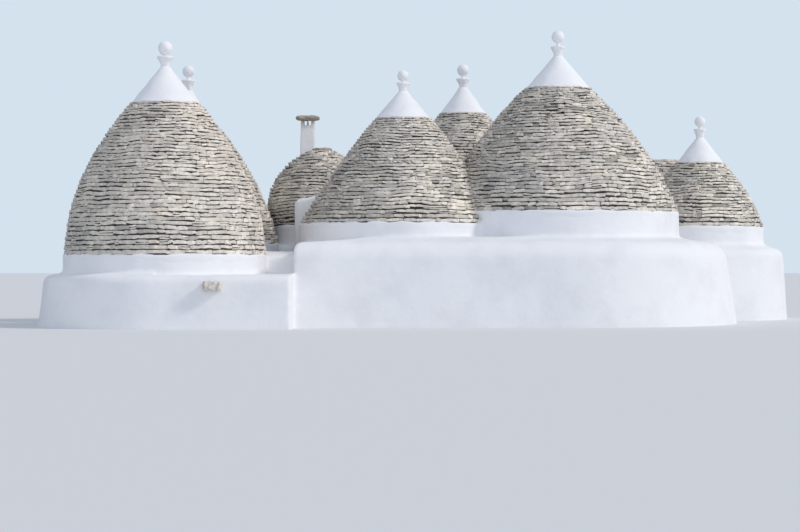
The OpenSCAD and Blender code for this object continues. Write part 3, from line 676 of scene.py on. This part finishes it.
def build_walls():
    """All plastered walls as one skin, since the plaster runs over from wall to wall."""
    names = [n for n in NODES if n.endswith(("_drum", "_base", "_wall"))]
    obj = copy_joined("house_plaster", names)
    sink_feet(obj, WALL_SUNK)
    soften(obj, voxel=0.05, smooth=2, rough=0.008, seed=31, keep=0.34)
    finish_object(obj, PLASTER, smooth=True)
    cut_at_ground(obj)
    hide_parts(*names)


def build_chimney():
    """Chimney stack with rounded edges, sooty at the smoke slots."""
    obj = copy_joined("chimney_plaster_stack", ["chimney_stack"])
    soften(obj, voxel=0.025, smooth=4, rough=0.004, seed=41)
    finish_object(obj, SOOTY, smooth=True)
    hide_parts("chimney_stack")


def rough_stone(name, voxel, rough, seed, material, wear=0.0):
    """A slab of the frame, made uneven, its corners rounded and its rim worn thin by wear."""
    lo, hi = (np.array(c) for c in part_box(name))
    obj = copy_joined(name + "_stone", [name])
    soften(obj, voxel, 3, rough, seed)
    co = places(obj.data)
    shift = np.stack([ripple(co, 0.14, seed + k) for k in (7, 8, 9)], axis=-1)
    co = co + shift * rough * np.array([0.9, 0.9, 0.5])
    middle, half = (lo + hi) / 2, (hi - lo) / 2
    share = (co - middle) / half
    corner = (share[:, 0] ** 6 + share[:, 1] ** 6) ** (1 / 6)
    rim = np.abs(share[:, :2]).max(axis=1)
    share[:, :2] *= np.minimum(1, rim / np.maximum(corner, 1e-6))[:, None]
    share[:, 2] *= 1 - wear * np.clip(rim, 0, 1) ** 4
    put_back(obj.data, middle + share * half)
    finish_object(obj, material, smooth=True)
    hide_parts(name)


def principled(name, rough):
    """A new material, its node tree and its shader, with a roughness."""
    mat = bpy.data.materials.new(name)
    mat.use_nodes = True
    bsdf = mat.node_tree.nodes["Principled BSDF"]
    bsdf.inputs["Roughness"].default_value = rough
    return mat, mat.node_tree, bsdf


def shader(tree, kind, **values):
    """A new node, with values for its sockets or settings."""
    n = tree.nodes.new(kind)
    for key, value in values.items():
        if key in n.inputs:
            n.inputs[key].default_value = value
        else:
            setattr(n, key, value)
    return n


def noise_at(tree, scale, detail=4.0, rough=0.55):
    """Noise over the object's own coordinates, in metres."""
    coord = shader(tree, "ShaderNodeTexCoord")
    n = shader(tree, "ShaderNodeTexNoise", Scale=scale, Detail=detail, Roughness=rough)
    tree.links.new(coord.outputs["Object"], n.inputs["Vector"])
    return n.outputs["Fac"]


def ramp(tree, source, stops):
    """Colour that follows a value, from stops of (value, colour)."""
    r = shader(tree, "ShaderNodeValToRGB")
    tree.links.new(source, r.inputs["Fac"])
    elements = r.color_ramp.elements
    while len(elements) < len(stops):
        elements.new(0.5)
    for e, (at, color) in zip(elements, stops):
        e.position = at
        e.color = (*color, 1)
    return r.outputs["Color"]


def mix_color(tree, kind, factor, a, b):
    """Mix of two colours. Each of them, and the factor, is a socket or a fixed value."""
    m = shader(tree, "ShaderNodeMix", data_type="RGBA", blend_type=kind)
    for index, value in ((0, factor), (6, a), (7, b)):
        if isinstance(value, bpy.types.NodeSocket):
            tree.links.new(value, m.inputs[index])
        elif index == 0:
            m.inputs[index].default_value = value
        else:
            m.inputs[index].default_value = (*value, 1)
    return m.outputs[2]


def along_axis(tree, vector, axis, start, end, most=1.0):
    """A value that goes from 0 to most as one coordinate of a vector goes from start to end."""
    split = shader(tree, "ShaderNodeSeparateXYZ")
    tree.links.new(vector, split.inputs[0])
    span = shader(tree, "ShaderNodeMapRange")
    span.inputs["From Min"].default_value = start
    span.inputs["From Max"].default_value = end
    span.inputs["To Max"].default_value = most
    tree.links.new(split.outputs[axis], span.inputs["Value"])
    return span.outputs[0]


def add_bump(tree, bsdf, layers):
    """Chains bump nodes: each layer is a height output, a distance and a strength."""
    last = None
    for height, distance, strength in layers:
        b = shader(tree, "ShaderNodeBump", Distance=distance, Strength=strength)
        tree.links.new(height, b.inputs["Height"])
        if last:
            tree.links.new(last, b.inputs["Normal"])
        last = b.outputs["Normal"]
    tree.links.new(last, bsdf.inputs["Normal"])


def stone_material(name, light, mid, dark, warm):
    """Limestone: a tone for each slab, mottling, lichen and pits, and painted shade on faces turned to -X,
    away from the key light.
    """
    mat, tree, bsdf = principled(name, 0.9)
    geo = shader(tree, "ShaderNodeNewGeometry")
    tone = ramp(tree, geo.outputs["Random Per Island"], [
        (0.0, dark), (0.12, mid), (0.45, mid), (0.8, light), (0.95, light), (1.0, warm)])
    patches = noise_at(tree, scale=1.1, detail=4.0, rough=0.6)
    drift = ramp(tree, patches, [(0.35, (0.86, 0.86, 0.88)), (0.65, (1.1, 1.08, 1.04))])
    mottle = noise_at(tree, scale=11.0, detail=6.0, rough=0.62)
    shade = ramp(tree, mottle, [(0.32, (0.6, 0.59, 0.58)), (0.68, (1.16, 1.15, 1.14))])
    spots = noise_at(tree, scale=22.0, detail=4.0, rough=0.6)
    lichen = ramp(tree, spots, [(0.54, (0, 0, 0)), (0.68, (0.8, 0.8, 0.8))])
    # Painted shade: the share of the tint grows as a face turns to -X, away from the key light.
    shade_side = along_axis(tree, geo.outputs["Normal"], "X", 0.05, -0.75)
    color = mix_color(tree, "MULTIPLY", 0.8, tone, drift)
    color = mix_color(tree, "MULTIPLY", 0.8, color, shade)
    color = mix_color(tree, "MIX", lichen, color, tuple(c * 0.55 for c in mid))
    color = mix_color(tree, "MULTIPLY", shade_side, color, SHADE_SIDE_TINT)
    tree.links.new(color, bsdf.inputs["Base Color"])
    fine = noise_at(tree, scale=95.0, detail=6.0, rough=0.65)
    add_bump(tree, bsdf, [(mottle, 0.03, 0.6), (fine, 0.006, 0.7)])
    return mat


def plaster_material(name, base, stain, soot_z=None):
    """Limewash over uneven plaster, with faint greyer patches and soot above a height."""
    mat, tree, bsdf = principled(name, 0.85)
    patches = noise_at(tree, scale=0.9, detail=5.0, rough=0.6)
    color = ramp(tree, patches, [(0.3, stain), (0.55, base)])
    if soot_z:
        coord = shader(tree, "ShaderNodeTexCoord")
        soot = along_axis(tree, coord.outputs["Object"], "Z", soot_z - 0.12, soot_z + 0.16, 0.75)
        color = mix_color(tree, "MIX", soot, color, SOOT_COLOR)
    tree.links.new(color, bsdf.inputs["Base Color"])
    lumps = noise_at(tree, scale=5.0, detail=4.0, rough=0.5)
    grain = noise_at(tree, scale=70.0, detail=5.0, rough=0.6)
    add_bump(tree, bsdf, [(lumps, 0.03, 0.3), (grain, 0.002, 0.4)])
    return mat


def joint_material():
    """Core of a roof, painted near black as the shade deep in the joints between its slabs."""
    mat, tree, bsdf = principled("joint_shade", 0.95)
    # Painted shade: near black, a little uneven, standing in for the dark deep in the joints.
    joint_shade_noise = noise_at(tree, scale=14.0)
    color = ramp(tree, joint_shade_noise, [(0.3, (0.045, 0.042, 0.038)), (0.7, (0.085, 0.078, 0.07))])
    tree.links.new(color, bsdf.inputs["Base Color"])
    return mat


def make_camera():
    """Level camera with the estimated place and focal length of the photograph."""
    data = bpy.data.cameras.new("camera")
    data.sensor_width = SENSOR_MM
    data.lens = FOCAL_PIXELS / PHOTO_WIDTH * SENSOR_MM
    data.clip_end = 500
    cam = bpy.data.objects.new("camera", data)
    cam.location = CAMERA_PLACE
    cam.rotation_euler = (math.radians(90), 0, 0)
    bpy.context.scene.collection.objects.link(cam)
    bpy.context.scene.camera = cam


def make_floor():
    """Plain pale floor at ground level."""
    corners = [(-FLOOR_HALF, -FLOOR_HALF, 0), (FLOOR_HALF, -FLOOR_HALF, 0),
               (FLOOR_HALF, FLOOR_HALF, 0), (-FLOOR_HALF, FLOOR_HALF, 0)]
    mesh = bpy.data.meshes.new("floor")
    mesh.from_pydata(corners, [], [(0, 1, 2, 3)])
    floor = bpy.data.objects.new("floor", mesh)
    bpy.context.scene.collection.objects.link(floor)
    mat, _, bsdf = principled("floor_pale", 0.9)
    bsdf.inputs["Base Color"].default_value = FLOOR_COLOR
    floor.data.materials.append(mat)


def add_lamp(name, energy, angle, color, way):
    """A soft sun: its angle in degrees, and the way that its light goes."""
    lamp = bpy.data.lights.new(name, "SUN")
    lamp.energy = energy
    lamp.angle = math.radians(angle)
    lamp.color = color
    obj = bpy.data.objects.new(name, lamp)
    obj.rotation_euler = Vector(way).to_track_quat("-Z", "Y").to_euler()
    bpy.context.scene.collection.objects.link(obj)


def make_light():
    """Soft bluish sky, a warm key light from the right and a weak fill from the front."""
    world = bpy.data.worlds.new("world")
    bpy.context.scene.world = world
    world.use_nodes = True
    tree = world.node_tree
    sky = tree.nodes["Background"]
    sky.inputs["Color"].default_value = SKY_COLOR
    sky.inputs["Strength"].default_value = SKY_STRENGTH
    seen = shader(tree, "ShaderNodeBackground", Color=BACKDROP_COLOR, Strength=1.0)
    path = shader(tree, "ShaderNodeLightPath")
    mixer = shader(tree, "ShaderNodeMixShader")
    tree.links.new(path.outputs["Is Camera Ray"], mixer.inputs[0])
    tree.links.new(sky.outputs[0], mixer.inputs[1])
    tree.links.new(seen.outputs[0], mixer.inputs[2])
    tree.links.new(mixer.outputs[0], tree.nodes["World Output"].inputs["Surface"])
    add_lamp("key", energy=1.5, angle=10, color=(1.0, 0.95, 0.87), way=(-0.78, 0.16, -0.6))
    add_lamp("fill", energy=0.42, angle=35, color=(0.9, 0.95, 1.0), way=(-0.1, 0.94, -0.3))


GREY_STONE = stone_material("grey_limestone", *GREY_TONES)
WARM_STONE = stone_material("warm_limestone", *WARM_TONES)
SLAB_STONE = stone_material("weathered_limestone", *SLAB_TONES)
PLASTER = plaster_material("wall_limewash", (0.86, 0.865, 0.88), (0.79, 0.795, 0.815))
CAP_PLASTER = plaster_material("cap_limewash", (0.88, 0.885, 0.9), (0.82, 0.825, 0.845))
SOOTY = plaster_material("chimney_limewash", (0.86, 0.86, 0.86), (0.8, 0.8, 0.8),
                         soot_z=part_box("chimney_stack")[1][2] - SOOT_DROP)
JOINT_SHADE = joint_material()
AXES = {roof.name: centre(roof.name) for roof in CONES + [DOME]}
ROWS = {roof.name: cone_courses(roof) for roof in CONES}
ROWS[DOME.name] = dome_courses(DOME)
VALLEYS = {(roof.name, other): valley(roof.name, other) for roof in CONES for other in roof.meets}

bpy.context.scene.view_settings.view_transform = "Standard"
make_camera()
for number, roof in enumerate(CONES):
    lay_roof(roof)
    if roof.goblet:
        build_cap(roof.name, CAP_SEED + number)
        build_pinnacle(roof.name, roof.goblet, PINNACLE_SEED + number)
lay_roof(DOME)
for number, roof in enumerate(CONES + [DOME]):
    planes = [VALLEYS[roof.name, other] for other in roof.meets]
    build_collar(roof.name, planes, COLLAR_SEED + COLLAR_SEED_STEP * number)
build_walls()
build_chimney()
rough_stone("chimney_slab", 0.022, 0.012, 42, SLAB_STONE, wear=0.5)
rough_stone("jutting_stone", 0.02, 0.014, 43, WARM_STONE)
rough_stone("hearth_crown", 0.022, 0.014, 44, SLAB_STONE, wear=0.3)
rough_stone("low_slab", 0.03, 0.014, 45, GREY_STONE, wear=0.3)
make_floor()
make_light()
